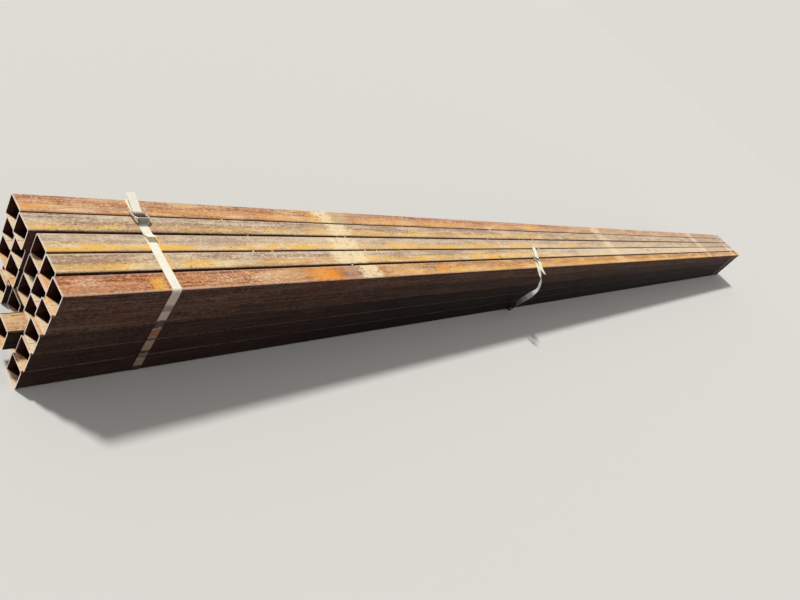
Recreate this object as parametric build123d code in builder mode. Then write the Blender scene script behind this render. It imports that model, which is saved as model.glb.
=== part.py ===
from build123d import *
from math import acos, atan2, cos, hypot, radians, sin
import os

# A strapped bundle of square steel tubes, five columns of five, as it lies on level ground.
# X runs along the tubes, from the staggered near end to the far end.
# Y runs across the bundle, from its front side to its back, and Z is up.
# The model is worked out from the near strap (x = 0), the front side (y = 0) and the ground
# (z = 0), and is centred on its own box at the end.

os.makedirs("parts", exist_ok=True)

# Square tube, millimetres
tube_side = 63.5
tube_wall = 3.2
tube_outer_radius = 6.4
tube_length = 7315.2
weld_bead_width = 2.6
weld_bead_height = 0.9
weld_bead_root = 0.8

# Stack: columns are counted from the back, rows from the top
column_gaps = [1.0, 4.5, 2.5, 5.5]
row_count = 5
near_overhang = 270.4

# How far each tube's near end stands out past the mean end, a row of tubes to a line
end_stagger = [
    [6.0, 9.0, -7.0, -5.0, 4.0],
    [0.0, 0.0, -7.0, -2.0, 10.0],
    [-3.0, -1.0, -8.0, -3.0, 18.0],
    [-26.0, -40.0, -43.0, 48.0, 22.0],
    [-20.0, -33.0, -40.0, 2.0, 27.0],
]

# Which wall holds the weld bead inside each tube: 0 top, 1 front, 2 bottom, 3 back
weld_walls = [
    [3, 2, 3, 1, 2],
    [2, 3, 1, 2, 3],
    [1, 2, 3, 0, 2],
    [2, 0, 1, 3, 3],
    [0, 3, 2, 1, 2],
]

# Strap and wire buckle
strap_width = 25.0
strap_thickness = 1.0
strap_seat = 0.2
layer_gap = 0.4
strap_bend_radius = 8.0
wire_diameter = 6.0
buckle_window_width = 34.0
buckle_window_length = 31.0
buckle_corner_cut = 5.0
bar_clearance = 0.2

# Tight straps, near and far; the near one runs a little askew across the bundle
near_strap_skew = 10.0
far_strap_skew = 0.0
far_strap_inset = 255.0
tight_buckle_inset = 73.3
tight_buckle_rise = 10.0
lap_foot_run = 13.0
lap_flat_run = 32.0
lap_end_run = 22.0
lap_end_lift = 11.0
tail_run = 62.0
tail_rise = 12.0

# Slack strap, broken behind its buckle
slack_strap_x = 2042.6
slack_buckle_y = 63.5
slack_buckle_rise = 3.0
slack_lift_off = 4.0
slack_rest_run = 30.0
slack_lap_overhang = 40.0
slack_lap_drop = 9.0
slack_lap_radius = 30.0
slack_fold_reach = 24.0
slack_fold_drop = 10.0
slack_fold_radius = 22.0
slack_shoulder = 66.0
slack_shoulder_drop = 54.0
slack_shoulder_radius = 50.0
slack_bow = 71.0
slack_bow_drop = 112.0
slack_bow_radius = 120.0
slack_waist = 38.0
slack_waist_height = 90.0
slack_waist_radius = 200.0
slack_foot = 20.0
slack_foot_radius = 14.0
slack_end_bend_height = 123.0
slack_end_bend_radius = 60.0
slack_end_height = 205.0
slack_end_lean = 13.0
stub_lower_run = 38.0
stub_upper_run = 62.0
stub_lift = 9.0

# Worked out from the sizes above
tube_inner_radius = tube_outer_radius - tube_wall
tube_bore = tube_side - 2 * tube_wall
column_count = len(column_gaps) + 1
base_height = strap_thickness + strap_seat
top_height = base_height + row_count * tube_side
bundle_width = column_count * tube_side + sum(column_gaps)
tight_buckle_y = bundle_width - tight_buckle_inset

# The strap's centre line, half a strap away from what it lies on
strap_offset = strap_seat + strap_thickness / 2
path_low = strap_thickness / 2
path_top = top_height + strap_offset
path_front = -strap_offset
path_back = bundle_width + strap_offset
path_corner_radius = tube_outer_radius + strap_offset
wrap_radius = wire_diameter / 2 + bar_clearance + strap_thickness / 2
bar_spacing = buckle_window_length + wire_diameter
layer_step = strap_thickness + layer_gap


def column_front(column):
    """y of the front face of a column, counted from 1 at the back."""
    columns_in_front = column_count - column
    return columns_in_front * tube_side + sum(column_gaps[column - 1:])


def tangent_point(point, centre, radius, side):
    """Where the line from a point touches a circle, on its upper (1) or lower (-1) side."""
    run, rise = centre[0] - point[0], centre[1] - point[1]
    distance = hypot(run, rise)
    heading = atan2(rise, run)
    turn = acos(radius / distance)
    away = heading + radians(180) - side * turn * (1 if run > 0 else -1)
    return centre[0] + radius * cos(away), centre[1] + radius * sin(away)


def bar_centres(buckle_y, rise):
    """Centres (y, z) of the front and back bars; the back bar lies on the strap."""
    back_z = path_top + wrap_radius
    half = bar_spacing / 2
    lean = rise / bar_spacing
    reach = half * (1 - lean * lean) ** 0.5
    return (buckle_y - reach, back_z + rise), (buckle_y + reach, back_z)


def make_tube(name, x, y, z, weld_wall):
    """One tube from its cut near end at x; y and z are its front bottom edge."""
    middle = Plane(origin=(x, y + tube_side / 2, z + tube_side / 2), x_dir=(0, 1, 0), z_dir=(1, 0, 0))
    with BuildPart() as tube:
        with BuildSketch(middle):
            RectangleRounded(tube_side, tube_side, tube_outer_radius)
            RectangleRounded(tube_bore, tube_bore, tube_inner_radius, mode=Mode.SUBTRACT)
            with Locations(Location((0, 0, 0), (0, 0, 90 * weld_wall))):
                with Locations((0, tube_bore / 2 + weld_bead_root)):
                    Ellipse(weld_bead_width / 2, weld_bead_height + weld_bead_root)
            RectangleRounded(tube_side, tube_side, tube_outer_radius, mode=Mode.INTERSECT)
        extrude(amount=tube_length)
    tube.part.label = name
    return tube.part


def strap_plane(x, skew=0.0):
    """The upright plane on which a strap's path is drawn; skew is its run along x per unit of y.

    The strap is drawn here and extruded along x, so it lies flat on the sides of the bundle.
    The path is as long across as along a straight strap, so the plane is moved to share out
    the little that it falls short of the bundle's width.
    """
    spare = bundle_width * (1 - 1 / hypot(1, skew)) / 2
    middle = bundle_width / 2
    origin = (x - strap_width / 2 + skew * (spare - middle), spare, 0)
    return Plane(origin=origin, x_dir=(skew, 1, 0), z_dir=(1, -skew, 0))


def wrap(start, end, centre, side):
    """The arc of a strap round a buckle's bar; side is 1 where it bulges to the back."""
    return ThreePointArc(start, (centre[0] + side * wrap_radius, centre[1]), end)


def make_tight_strap(name, x, skew):
    """A strap pulled tight round the bundle, with its lap and its free tail."""
    front_bar, back_bar = bar_centres(tight_buckle_y, tight_buckle_rise)
    foot_y = front_bar[0] - lap_foot_run
    flat_y = foot_y - lap_flat_run
    lap_foot = (foot_y, path_top + layer_step)
    lower_foot = (foot_y + layer_step, path_top)
    over_front = tangent_point(lap_foot, front_bar, wrap_radius, 1)
    under_front = tangent_point(lower_foot, front_bar, wrap_radius, -1)
    under_back = (back_bar[0], path_top)
    tail_slope = atan2(tail_rise, tail_run)
    over_tail = (
        back_bar[0] - wrap_radius * sin(tail_slope),
        back_bar[1] + wrap_radius * cos(tail_slope),
    )
    tail_end = (over_tail[0] + tail_run, over_tail[1] + tail_rise)
    corner = path_corner_radius
    with BuildPart() as strap:
        with BuildSketch(strap_plane(x, skew)):
            with BuildLine():
                FilletPolyline(
                    (flat_y - lap_end_run, path_top + layer_step + lap_end_lift),
                    (flat_y, path_top + layer_step),
                    lap_foot,
                    over_front,
                    radius=strap_bend_radius,
                )
                wrap(over_front, under_front, front_bar, 1)
                FilletPolyline(
                    under_front,
                    lower_foot,
                    (path_front, path_top),
                    (path_front, path_low),
                    (path_back, path_low),
                    (path_back, path_top),
                    under_back,
                    radius=[strap_bend_radius, corner, corner, corner, corner],
                )
                ThreePointArc(under_back, (back_bar[0] - wrap_radius, back_bar[1]), over_tail)
                Line(over_tail, tail_end)
            trace(line_width=strap_thickness)
        extrude(amount=strap_width, dir=(1, 0, 0))
    strap.part.label = name
    return strap.part


def make_buckle(name, x, buckle_y, rise):
    """A closed rectangle of round wire, its front bar raised over its back bar.

    Each corner turns in two steps, which needs far fewer facets than a round bend.
    """
    front_bar, back_bar = bar_centres(buckle_y, rise)
    centre = (x, (front_bar[0] + back_bar[0]) / 2, (front_bar[1] + back_bar[1]) / 2)
    slope = Vector(0, back_bar[0] - front_bar[0], back_bar[1] - front_bar[1])
    frame_plane = Plane(origin=centre, x_dir=(1, 0, 0), z_dir=Vector(1, 0, 0).cross(slope))
    half_width = (buckle_window_width + wire_diameter) / 2
    half_length = bar_spacing / 2
    bar_end = half_width - buckle_corner_cut
    side_end = half_length - buckle_corner_cut
    with BuildPart() as buckle:
        with BuildLine(frame_plane) as frame:
            Polyline(
                (-bar_end, -half_length),
                (bar_end, -half_length),
                (half_width, -side_end),
                (half_width, side_end),
                (bar_end, half_length),
                (-bar_end, half_length),
                (-half_width, side_end),
                (-half_width, -side_end),
                close=True,
            )
        start = frame.line @ 0
        with BuildSketch(Plane(origin=start, z_dir=frame.line % 0)):
            Circle(wire_diameter / 2)
        sweep(path=frame.line, transition=Transition.RIGHT)
    buckle.part.label = name
    return buckle.part


def make_slack_strap(name, x):
    """The long piece of the broken strap: lap, buckle bar, bow, ground and back side."""
    front_bar = bar_centres(slack_buckle_y, slack_buckle_rise)[0]
    lower_foot = (slack_lift_off + slack_rest_run, path_top)
    under_front = tangent_point(lower_foot, front_bar, wrap_radius, -1)
    lap_bend = (slack_lift_off, path_top + layer_step + slack_buckle_rise)
    over_front = tangent_point(lap_bend, front_bar, wrap_radius, 1)
    with BuildPart() as strap:
        with BuildSketch(strap_plane(x)):
            with BuildLine():
                FilletPolyline(
                    (-slack_lap_overhang, path_top - slack_lap_drop),
                    lap_bend,
                    over_front,
                    radius=slack_lap_radius,
                )
                wrap(over_front, under_front, front_bar, 1)
                FilletPolyline(
                    under_front,
                    lower_foot,
                    (slack_lift_off, path_top),
                    (-slack_fold_reach, path_top - slack_fold_drop),
                    (-slack_shoulder, path_top - slack_shoulder_drop),
                    (-slack_bow, path_top - slack_bow_drop),
                    (-slack_waist, slack_waist_height),
                    (-slack_foot, path_low),
                    (path_back, path_low),
                    (path_back, slack_end_bend_height),
                    (path_back + slack_end_lean, slack_end_height),
                    radius=[
                        strap_bend_radius,
                        strap_bend_radius,
                        slack_fold_radius,
                        slack_shoulder_radius,
                        slack_bow_radius,
                        slack_waist_radius,
                        slack_foot_radius,
                        path_corner_radius,
                        slack_end_bend_radius,
                    ],
                )
            trace(line_width=strap_thickness)
        extrude(amount=strap_width)
    strap.part.label = name
    return strap.part


def make_strap_stub(name, x):
    """The short piece left on the buckle's back bar, both ends pointing to the back."""
    back_bar = bar_centres(slack_buckle_y, slack_buckle_rise)[1]
    under_back = (back_bar[0], path_top)
    stub_slope = atan2(stub_lift, stub_upper_run)
    over_back = (
        back_bar[0] - wrap_radius * sin(stub_slope),
        back_bar[1] + wrap_radius * cos(stub_slope),
    )
    with BuildPart() as stub:
        with BuildSketch(strap_plane(x)):
            with BuildLine():
                Line((back_bar[0] + stub_lower_run, path_top), under_back)
                ThreePointArc(under_back, (back_bar[0] - wrap_radius, back_bar[1]), over_back)
                Line(over_back, (over_back[0] + stub_upper_run, over_back[1] + stub_lift))
            trace(line_width=strap_thickness)
        extrude(amount=strap_width)
    stub.part.label = name
    return stub.part


pieces = []
for row in range(1, row_count + 1):
    for column in range(1, column_count + 1):
        pieces.append(
            make_tube(
                f"tube_row{row}_column{column}",
                -near_overhang - end_stagger[row - 1][column - 1],
                column_front(column),
                base_height + (row_count - row) * tube_side,
                weld_walls[row - 1][column - 1],
            )
        )

far_strap_x = tube_length - near_overhang - far_strap_inset
for place, strap_x, strap_skew in (
    ("near", 0, near_strap_skew / bundle_width),
    ("far", far_strap_x, far_strap_skew / bundle_width),
):
    buckle_x = strap_x + strap_skew * (tight_buckle_y - bundle_width / 2)
    pieces.append(make_tight_strap(f"strap_{place}", strap_x, strap_skew))
    pieces.append(make_buckle(f"buckle_{place}", buckle_x, tight_buckle_y, tight_buckle_rise))
pieces.append(make_slack_strap("strap_slack", slack_strap_x))
pieces.append(make_strap_stub("strap_slack_stub", slack_strap_x))
pieces.append(make_buckle("buckle_slack", slack_strap_x, slack_buckle_y, slack_buckle_rise))

# Centre the whole bundle over the origin, with the straps' undersides on the ground
boxes = [piece.bounding_box() for piece in pieces]
centre_x = (min(box.min.X for box in boxes) + max(box.max.X for box in boxes)) / 2
centre_y = (min(box.min.Y for box in boxes) + max(box.max.Y for box in boxes)) / 2
for piece in pieces:
    export_step(piece.moved(Location((-centre_x, -centre_y, 0))), f"parts/{piece.label}.step")
print(f"near strap at x = {-centre_x:.2f}, front side at y = {-centre_y:.2f}")
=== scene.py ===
"""A strapped bundle of rusty square steel tubes: its finishes, loose strap, dirt and stage."""
import math
import random
from types import SimpleNamespace

import bmesh
import bpy
from mathutils import Matrix, Vector


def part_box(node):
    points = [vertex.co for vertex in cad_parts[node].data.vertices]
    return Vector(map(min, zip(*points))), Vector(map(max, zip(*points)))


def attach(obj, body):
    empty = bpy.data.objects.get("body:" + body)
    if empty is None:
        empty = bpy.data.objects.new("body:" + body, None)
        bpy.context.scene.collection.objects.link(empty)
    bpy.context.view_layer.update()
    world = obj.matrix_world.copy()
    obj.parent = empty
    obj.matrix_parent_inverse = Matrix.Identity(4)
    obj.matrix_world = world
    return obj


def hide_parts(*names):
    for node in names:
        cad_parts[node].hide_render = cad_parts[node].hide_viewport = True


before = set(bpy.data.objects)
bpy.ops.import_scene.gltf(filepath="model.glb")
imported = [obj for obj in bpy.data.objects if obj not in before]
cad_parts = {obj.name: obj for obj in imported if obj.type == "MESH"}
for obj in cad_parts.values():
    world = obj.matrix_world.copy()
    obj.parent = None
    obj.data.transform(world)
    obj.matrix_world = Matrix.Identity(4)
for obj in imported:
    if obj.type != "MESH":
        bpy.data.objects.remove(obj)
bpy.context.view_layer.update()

bl_info = {
    "name": "Tube bundle",
    "version": (1, 0, 0),
    "blender": (4, 5, 0),
    "location": "View3D > Sidebar > Tube bundle",
    "description": "Finishes a strapped bundle of square steel tubes and sets its stage",
    "category": "Object",
}

ROWS, COLUMNS = 5, 5
MM = 0.001


def shade(code, alpha=1.0):
    """A display colour such as #a07040 as the linear colour that the shaders take."""
    parts = [int(code[k:k + 2], 16) / 255 for k in (1, 3, 5)]
    linear = [p / 12.92 if p <= 0.04045 else ((p + 0.055) / 1.055) ** 2.4 for p in parts]
    return (*linear, alpha)


def colour(name, code, description):
    """A colour property that starts at a display colour."""
    return bpy.props.FloatVectorProperty(
        name=name, description=description, subtype="COLOR", size=4, min=0, max=1, default=shade(code)
    )


def length(name, value, description):
    """A length property, in metres."""
    return bpy.props.FloatProperty(name=name, description=description, default=value, min=0, unit="LENGTH")


class TubeFinish(bpy.types.PropertyGroup):
    """Colours of the steel, as rolled and as rusted."""

    grey_light: colour("Mill scale, light", "#e1caae", "Pale streaks of the grey top faces")
    grey_dark: colour("Mill scale, dark", "#9b7e63", "Dark streaks of the grey top faces")
    pale_light: colour("Worn scale, light", "#ead7bf", "Pale streaks of the grey top faces at the far end")
    pale_dark: colour("Worn scale, dark", "#b39a82", "Dark streaks of the grey top faces at the far end")
    gold: colour("Gold rust", "#f8c058", "Yellow rust along the front of the grey top faces")
    sand: colour("Sand rust", "#edc994", "Pale yellow rust")
    brick_light: colour("Brick rust, light", "#d8986a", "Pale streaks of the front tube's near end")
    brick_dark: colour("Brick rust, dark", "#8a5231", "Dark streaks of the front tube's near end")
    ochre: colour("Ochre rust", "#e8b478", "Pale streaks of the front tube beyond its reddish near end")
    tan_light: colour("Tan rust, light", "#e0ad88", "Pale streaks of the two outer top faces")
    tan_dark: colour("Tan rust, dark", "#96603f", "Dark streaks of the two outer top faces")
    russet: colour("Russet", "#efaf68", "Orange brown rust along the front of the outer top faces")
    amber: colour("Amber rust", "#f8992c", "Fresh rust in patches")
    dust: colour("Dust", "#ffebbc", "Pale dust where spacers lay across the tubes")
    moss: colour("Grey film", "#c2b28c", "Grey film beside the dust")
    mauve: colour("Mauve", "#b08f7f", "Dull reddish grey patches of the top faces")
    # Sparkle also paints glints on the bright grains and scratches.
    sparkle: colour("Sparkle", "#fff6e6", "Bright grains and scratches")
    # Worn rust also paints the highlight on the rubbed corners.
    worn: colour("Worn rust", "#e6b796", "Rubbed corners, and the front of the front tube near its mouth")
    pit: colour("Pit", "#5e4030", "Dark grains and scuffs")
    side_light: colour("Side, light", "#7f6253", "Pale streaks of the side faces")
    side_dark: colour("Side, dark", "#412b26", "Dark streaks of the side faces")
    side_rust: colour("Side rust", "#6c3f31", "Red brown rust of the side faces")
    side_plain: colour("Side, plain", "#5b4a44", "Even tone of the back side")
    end_grey: colour("End band", "#a39a98", "Grey band at the far end of the front side")
    # Painted shade: the darkest tone, laid over the lower front side faces and deep in the bores.
    shadow: colour("Painted shade", "#0b090b", "Darkest tone, of the lower side faces and deep in the bores")
    rim: colour("Cut rim", "#ffeee2", "Sawn ends")
    # Bore dust: pale dust painted bright where the key light falls into each mouth, so both dust and
    # painted light.
    bore_dust_and_light: colour("Bore dust", "#ffe8c2", "Dry rust dust on the floor of each bore near its mouth")
    bore_warm_dust_and_light: colour("Bore dust, warm", "#f6b46c", "Rust dust on the floors of some bores")
    bore_wall: colour("Bore wall", "#3c1610", "Walls of each bore")


class StrapFinish(bpy.types.PropertyGroup):
    """Colours and weave of the straps and the wire of their buckles."""

    fabric: colour("Fabric", "#fffbe6", "Clean strap")
    soil: colour("Soil", "#d8c69c", "Dirt on the strap")
    # Grime also paints the shade of the side runs.
    grime_and_shade: colour("Grime and painted shade", "#c0a89e", "Pale dirt on the side runs")
    # Haze also paints the shade of the loose strap below the lit part of its bow.
    haze_and_shade: colour("Haze and painted shade", "#b9bcc8", "Grey dirt on the loose strap's foot")
    # Stain also paints shade, darker low on the side runs.
    stain: colour("Stain", "#26160f", "Dark dirt that has run onto the strap")
    rust: colour("Rust stain", "#84522f", "Rust that has run onto the strap")
    brown: colour("Brown dirt", "#8e7360", "Brown dirt low on the side runs")
    # Scuff also paints the shade under the near buckle's front bar.
    scuff_and_shade: colour("Scuff and painted shade", "#5e5b5e", "Grey dirt where the near strap leaves its buckle")
    wire: colour("Wire", "#dcdcde", "Buckle wire")
    wire_dark: colour("Wire, dark", "#88888c", "Dull patches of the buckle wire")
    cord_pitch: length("Cord pitch", 1.5 * MM, "Distance between the strap's lengthwise cords")


class LooseStrapSizes(bpy.types.PropertyGroup):
    """Sizes of the strap that has come loose."""

    width: length("Width", 25 * MM, "Width of the strap")
    thickness: length("Thickness", 1.0 * MM, "Thickness of the strap")
    step: length("Step", 3 * MM, "Length of one division of the strap")
    wire: length("Wire", 6.0 * MM, "Diameter of the buckle's wire")


class DirtAmounts(bpy.types.PropertyGroup):
    """How much dirt lies on the bundle."""

    clods: bpy.props.IntProperty(name="Clods", description="Clods in the seams", default=70, min=0)
    crumbs: bpy.props.IntProperty(name="Crumbs", description="Crumbs on the top faces", default=160, min=0)
    seed: bpy.props.IntProperty(name="Seed", description="Start of the random places", default=7)


class StageSettings(bpy.types.PropertyGroup):
    """Camera, light and floor."""

    camera_place: bpy.props.FloatVectorProperty(
        name="Camera", description="Where the camera stands", subtype="TRANSLATION", unit="LENGTH",
        default=(-4.24548, -1.04155, 1.35492),
    )
    camera_turn: bpy.props.FloatVectorProperty(
        name="Turn", description="How the camera is turned", subtype="EULER", unit="ROTATION",
        default=tuple(math.radians(a) for a in (53.7493, -33.2547, -42.1007)),
    )
    lens: bpy.props.FloatProperty(name="Lens", description="Focal length in mm", default=28.03, min=1)
    floor: colour("Floor", "#dedbd5", "Floor and backdrop")
    key: bpy.props.FloatProperty(name="Key", description="Strength of the key light", default=2.52, min=0)
    fill: bpy.props.FloatProperty(
        name="Fill", description="Strength of the light all round", default=0.34, min=0
    )


SETTINGS = {
    "bundle_tubes": TubeFinish,
    "bundle_straps": StrapFinish,
    "bundle_loose_strap": LooseStrapSizes,
    "bundle_dirt": DirtAmounts,
    "bundle_stage": StageSettings,
}


class Bench:
    """Short calls that add nodes to a material or a node group and link them."""

    def __init__(self, tree):
        self.tree = tree

    def put(self, socket, value):
        """Links an output to a socket, or sets the socket's own number or colour."""
        if isinstance(value, bpy.types.NodeSocket):
            self.tree.links.new(value, socket)
        else:
            socket.default_value = value

    def fill(self, sockets, **values):
        """Puts values into sockets by name."""
        for name, value in values.items():
            self.put(sockets[name], value)

    def add(self, kind, *values, **settings):
        """Adds a node, with its settings and its first inputs, and returns it."""
        node = self.tree.nodes.new("ShaderNode" + kind)
        for name, value in settings.items():
            setattr(node, name, value)
        for socket, value in zip(node.inputs, values):
            self.put(socket, value)
        return node

    def math(self, operation, *values):
        return self.add("Math", *values, operation=operation).outputs[0]

    def times(self, *values):
        """The product of several numbers."""
        product = values[0]
        for value in values[1:]:
            product = self.math("MULTIPLY", product, value)
        return product

    def plus(self, a, b):
        return self.math("ADD", a, b)

    def minus(self, a, b):
        return self.math("SUBTRACT", a, b)

    def linear(self, value, slope, start):
        """A value times a slope, plus a start."""
        return self.math("MULTIPLY_ADD", value, slope, start)

    def sway(self, noise, reach):
        """The shift that a noise gives, to either side."""
        return self.times(self.minus(noise, 0.5), reach)

    def size(self, value):
        return self.math("ABSOLUTE", value)

    def most(self, a, b):
        return self.math("MAXIMUM", a, b)

    def moved(self, place, by):
        return self.add("VectorMath", place, by, operation="ADD").outputs[0]

    def parts(self, vector):
        return tuple(self.add("SeparateXYZ", vector).outputs)

    def noise(self, place, scales, detail, roughness, distortion=0.0):
        """A noise that is the finer along an axis, the larger that axis's scale."""
        scaled = self.add("VectorMath", place, scales, operation="MULTIPLY").outputs[0]
        node = self.add("TexNoise", scaled)
        self.fill(node.inputs, Scale=1.0, Detail=detail, Roughness=roughness, Distortion=distortion)
        return node.outputs["Fac"]

    def step(self, value, low, high):
        """0 below low, 1 above high, and smooth between them; low may be the larger."""
        node = self.add("MapRange", value, low, high, 0.0, 1.0, interpolation_type="SMOOTHSTEP")
        return node.outputs[0]

    def blend(self, share, a, b):
        """A colour that goes from a to b as share goes from 0 to 1."""
        node = self.add("Mix", data_type="RGBA", blend_type="MIX")
        self.put(node.inputs[0], share)
        self.put(node.inputs[6], a)
        self.put(node.inputs[7], b)
        return node.outputs[2]

    def tint(self, base, tone, value, low, high, strength):
        """A colour with a tone laid over it, more and more as a value goes from low to high."""
        return self.blend(self.times(self.step(value, low, high), strength), base, tone)


def new_group(name, inputs, outputs):
    """An empty node group, its bench, what it is given and what it has to give, by name."""
    group = bpy.data.node_groups.new(name, "ShaderNodeTree")
    for kind, sockets in (("INPUT", inputs), ("OUTPUT", outputs)):
        for label, form in sockets.items():
            group.interface.new_socket(name=label, in_out=kind, socket_type="NodeSocket" + form)
    start = group.nodes.new("NodeGroupInput")
    end = group.nodes.new("NodeGroupOutput")
    return group, Bench(group), start.outputs, end.inputs


def use_group(bench, group, **values):
    """Adds a node group to a bench, with its inputs by name, and returns its outputs."""
    node = bench.add("Group", node_tree=group)
    bench.fill(node.inputs, **values)
    return node.outputs


def soft_box_group():
    """How much a place lies inside a box with soft sides."""
    group, bench, start, end = new_group(
        "soft_box",
        {"Place": "Vector", "Middle": "Vector", "Half": "Vector", "Blur": "Float"},
        {"Share": "Float"},
    )
    offset = bench.add("VectorMath", start["Place"], start["Middle"], operation="SUBTRACT")
    shares = []
    for value, half in zip(bench.parts(offset.outputs[0]), bench.parts(start["Half"])):
        room = bench.minus(half, bench.size(value))
        shares.append(bench.step(bench.math("DIVIDE", room, start["Blur"]), -1.0, 1.0))
    bench.put(end["Share"], bench.times(*shares))
    return group


def new_material(name):
    """A material with an empty node tree, its bench and its shader."""
    material = bpy.data.materials.new(name)
    material.use_nodes = True
    tree = material.node_tree
    tree.nodes.clear()
    bench = Bench(tree)
    shader = bench.add("BsdfPrincipled")
    bench.add("OutputMaterial", shader.outputs[0])
    return material, bench, shader


def set_finish(bench, shader, tone, roughness):
    """Gives a shader its colour and its roughness."""
    bench.put(shader.inputs["Base Color"], tone)
    bench.put(shader.inputs["Roughness"], roughness)


def add_bump(bench, shader, height, strength, distance):
    """Gives a shader the relief of a height."""
    bump = bench.add("Bump")
    bench.fill(bump.inputs, Strength=strength, Distance=distance, Height=height)
    bench.put(shader.inputs["Normal"], bump.outputs[0])


def paint(thing, material):
    """Makes a material the only one of an object."""
    thing.data.materials.clear()
    thing.data.materials.append(material)


def new_object(name, data):
    """An object in the scene that holds a mesh, a light or a camera."""
    made = bpy.data.objects.new(name, data)
    bpy.context.scene.collection.objects.link(made)
    return made


def new_shape(name, vertices, faces):
    """An object in the scene with a mesh of the given corners and faces."""
    mesh = bpy.data.meshes.new(name)
    mesh.from_pydata(vertices, [], faces)
    return new_object(name, mesh)


# A tube's seed grows with its row and its column, and shifts its patterns this much along each axis
ROW_SEED, COLUMN_SEED = 7.3, 3.1
OWN_SHIFT = (3.7, 1.3, 2.1)
# A bore in a tube's section: where its walls count as inside, and its half width, in metres
BORE_REACH = (29.6 * MM, 28.9 * MM)
BORE_HALF = 29 * MM
# The dust and painted light at a bore's mouth, laid in the wedge that the key light reaches: how fast it
# reaches deeper across the floor, and how deep it goes at most
DUST_AND_LIGHT_SLOPE = 0.62
DUST_AND_LIGHT_DEPTH = 22 * MM
# A sawn rim also pales this much of the faces beside it
RIM_WEAR = (3.5 * MM, 1.5 * MM)


def tube_section(bench, start):
    """Where a point of a tube lies: in its section, how deep from its nearer mouth, and facing where."""
    coordinates = bench.add("TexCoord")
    place = coordinates.outputs["Object"]
    seed = start["Seed"]
    shift = bench.add("CombineXYZ", *(bench.times(seed, share) for share in OWN_SHIFT))
    own = bench.moved(place, shift.outputs[0])
    normal_x, normal_y, normal_z = bench.parts(coordinates.outputs["Normal"])
    offset = bench.add("VectorMath", place, start["Middle"], operation="SUBTRACT").outputs[0]
    _, across, above = bench.parts(offset)
    reach = bench.most(bench.size(across), bench.size(above))
    rim = bench.step(bench.size(normal_x), 0.5, 0.7)
    inside = bench.times(bench.step(reach, *BORE_REACH), bench.minus(1.0, rim))
    mouth_near, mouth_far, _ = bench.parts(start["Mouths"])
    x, _, _ = bench.parts(place)
    depth = bench.math("MINIMUM", bench.minus(x, mouth_near), bench.minus(mouth_far, x))
    return SimpleNamespace(
        place=place, own=own, seed=seed, normal_y=normal_y, normal_z=normal_z,
        across=across, rim=rim, inside=inside, depth=depth,
    )


def steel_patterns(bench, own):
    """The noises that all of a tube's faces share: streaks along it, blotches, grains and slow drifts."""
    lines = bench.noise(own, (0.8, 210, 210), 3, 0.6)
    streaks = bench.noise(own, (3.2, 110, 110), 5, 0.64, 0.3)
    brush = bench.noise(own, (24, 330, 330), 3, 0.6)
    blotches = bench.noise(own, (9, 30, 30), 4, 0.62, 0.6)
    grains = bench.noise(own, (130, 210, 210), 3, 0.72)
    drift = bench.noise(own, (1.2, 9, 9), 2, 0.5)
    patchy = bench.noise(own, (5.5, 22, 22), 4, 0.62, 0.5)
    mix = bench.plus(bench.times(streaks, 0.3), bench.times(brush, 0.16))
    mix = bench.plus(mix, bench.plus(bench.times(grains, 0.3), bench.times(lines, 0.12)))
    mix = bench.plus(mix, bench.times(patchy, 0.12))
    return SimpleNamespace(
        streaks=streaks, blotches=blotches, grains=grains, drift=drift, patchy=patchy, mix=mix,
        flecks=bench.step(grains, 0.6, 0.7), pits=bench.step(grains, 0.41, 0.31),
    )


def top_face(bench, look, start, tube, seen):
    """Light and dark streaks, with a soft stripe of rust towards the front."""
    light, dark = start["Light"], start["Dark"]
    top = bench.blend(bench.step(seen.mix, 0.42, 0.57), dark, light)
    top = bench.tint(top, look.sand, seen.patchy, 0.52, 0.64, 0.45)
    top = bench.tint(top, look.mauve, seen.patchy, 0.46, 0.36, 0.5)
    top = bench.tint(top, dark, seen.blotches, 0.5, 0.7, 0.4)
    top = bench.tint(top, light, seen.blotches, 0.46, 0.3, 0.5)
    ragged = bench.plus(bench.sway(seen.streaks, 34 * MM), bench.sway(seen.grains, 22 * MM))
    stripe_place = bench.plus(start["Offset"], bench.sway(seen.drift, 12 * MM))
    stripe_reach = bench.size(bench.minus(tube.across, stripe_place))
    stripe_room = bench.plus(bench.minus(start["Half"], stripe_reach), ragged)
    worn = bench.linear(bench.step(seen.blotches, 0.4, 0.6), 0.35, 0.65)
    worn = bench.times(worn, bench.linear(bench.step(seen.patchy, 0.38, 0.56), 0.45, 0.55))
    stripe = bench.times(bench.step(stripe_room, -11 * MM, 8 * MM), worn, start["Strength"])
    dusty = bench.times(bench.step(seen.blotches, 0.52, 0.4), 0.6)
    top = bench.blend(stripe, top, bench.blend(dusty, start["Stripe"], look.dust))
    bloom = bench.times(bench.step(seen.blotches, 0.56, 0.72), bench.step(seen.grains, 0.4, 0.6), 0.35)
    top = bench.blend(bloom, top, look.russet)
    # Bright flecks on the grains, partly painted glints.
    top = bench.blend(bench.times(seen.flecks, 0.5), top, look.sparkle)
    top = bench.blend(bench.times(seen.pits, 0.5), top, look.pit)
    return bench.tint(top, look.rim, tube.depth, *RIM_WEAR, 0.4)


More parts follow.
